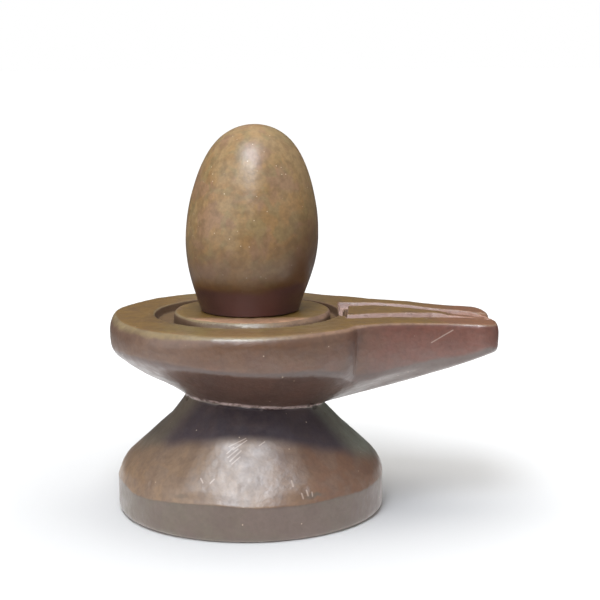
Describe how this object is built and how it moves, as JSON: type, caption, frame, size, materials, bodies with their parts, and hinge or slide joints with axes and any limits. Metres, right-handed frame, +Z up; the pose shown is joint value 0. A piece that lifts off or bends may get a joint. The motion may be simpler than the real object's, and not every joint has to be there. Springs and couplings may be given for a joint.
{
  "type": "shiva lingam stone on a carved stone base",
  "caption": "Egg-shaped polished stone standing on a carved stone base with a round foot, narrow waist, moated dish and a grooved side spout.",
  "frame": {"origin": "centre of the flat face that the foot stands on", "axes": "+X along the spout, +Z up, -Y towards the front"},
  "size_m": [0.1509, 0.1066, 0.1505],
  "materials": {
    "lingam_stone": "polished",
    "pedestal_stone": "semi-polished"
  },
  "bodies": {
    "root": {"lingam": "lingam_stone", "pedestal": "pedestal_stone"}
  },
  "joints": []
}
